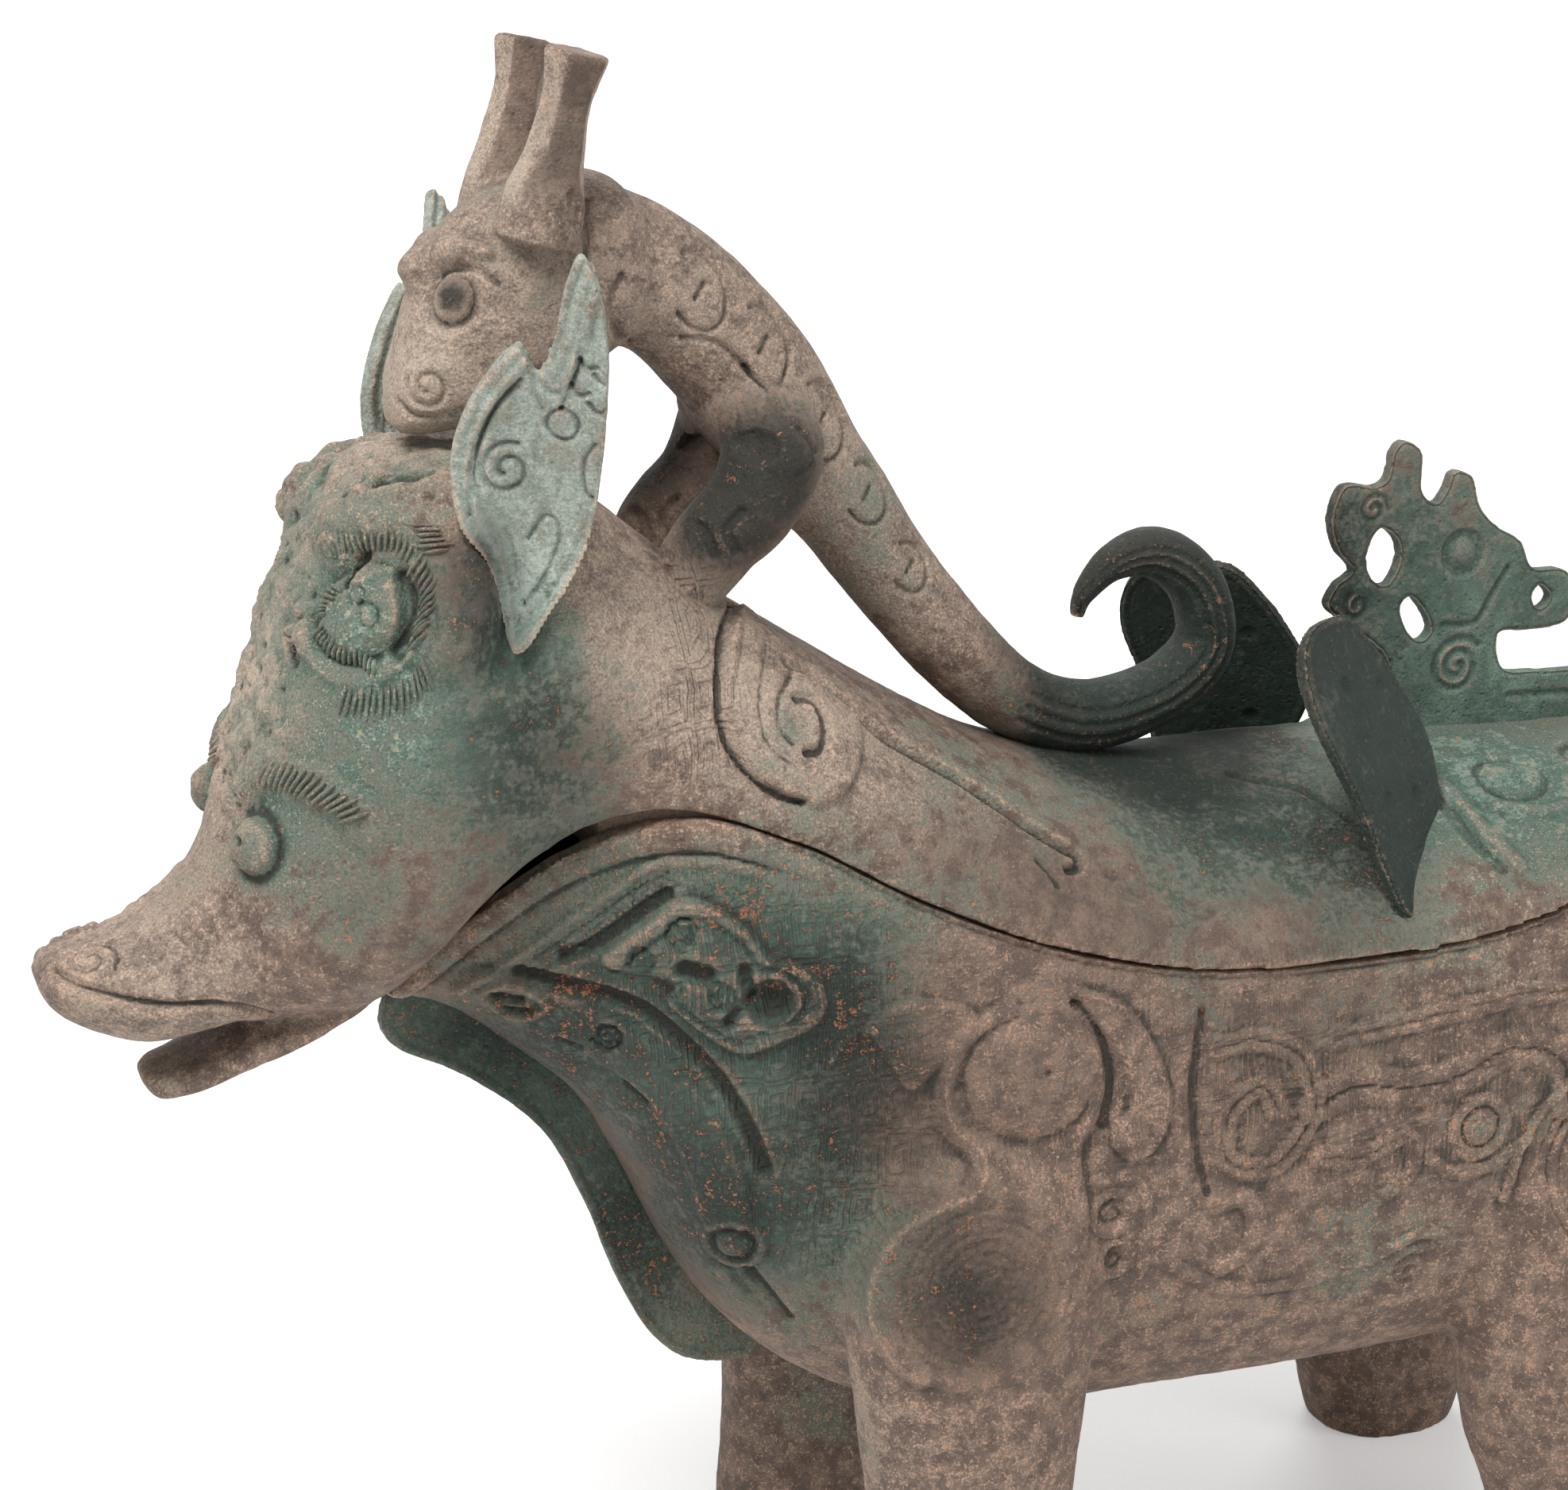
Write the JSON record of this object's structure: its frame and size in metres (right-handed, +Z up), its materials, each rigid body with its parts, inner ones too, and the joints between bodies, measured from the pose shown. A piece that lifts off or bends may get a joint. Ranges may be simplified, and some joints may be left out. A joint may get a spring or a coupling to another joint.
{
  "type": "animal-shaped bronze pouring vessel with lid",
  "caption": "Animal-shaped bronze wine vessel on legs, with a spout under the chin, a rear handle and a lift-off lid carrying a horned dragon grip.",
  "frame": {"origin": "middle of the footprint on the ground, under the centre of the overall box", "axes": "+Z up, +X along the length towards the handle with the head at -X, the animal's left side at -Y"},
  "size_m": [0.4319, 0.1304, 0.3542],
  "materials": {
    "vessel_bronze": "matt brown patina with green in the hollows",
    "lid_bronze": "matt brown and grey-green patina",
    "green_bronze": "matt verdigris patina"
  },
  "bodies": {
    "vessel": {"vessel_body": "vessel_bronze", "front_leg_left": "vessel_bronze", "front_leg_right": "vessel_bronze", "hind_leg_left": "vessel_bronze", "hind_leg_right": "vessel_bronze", "chest_flange": "green_bronze", "handle": "vessel_bronze"},
    "lid": {"lid_shell": "lid_bronze", "ear_left": "green_bronze", "ear_right": "green_bronze", "rear_ear_left": "green_bronze", "rear_ear_right": "green_bronze", "rear_crest": "green_bronze", "dragon_body": "lid_bronze", "dragon_head": "lid_bronze", "dragon_horn_left": "lid_bronze", "dragon_horn_right": "lid_bronze", "dragon_foreleg_left": "lid_bronze", "dragon_foreleg_right": "lid_bronze"}
  },
  "joints": [
    {"name": "lid_lift", "type": "slide", "parent": "vessel", "child": "lid", "axis": [0, 0, 1], "range_m": [0, 0.1]}
  ]
}
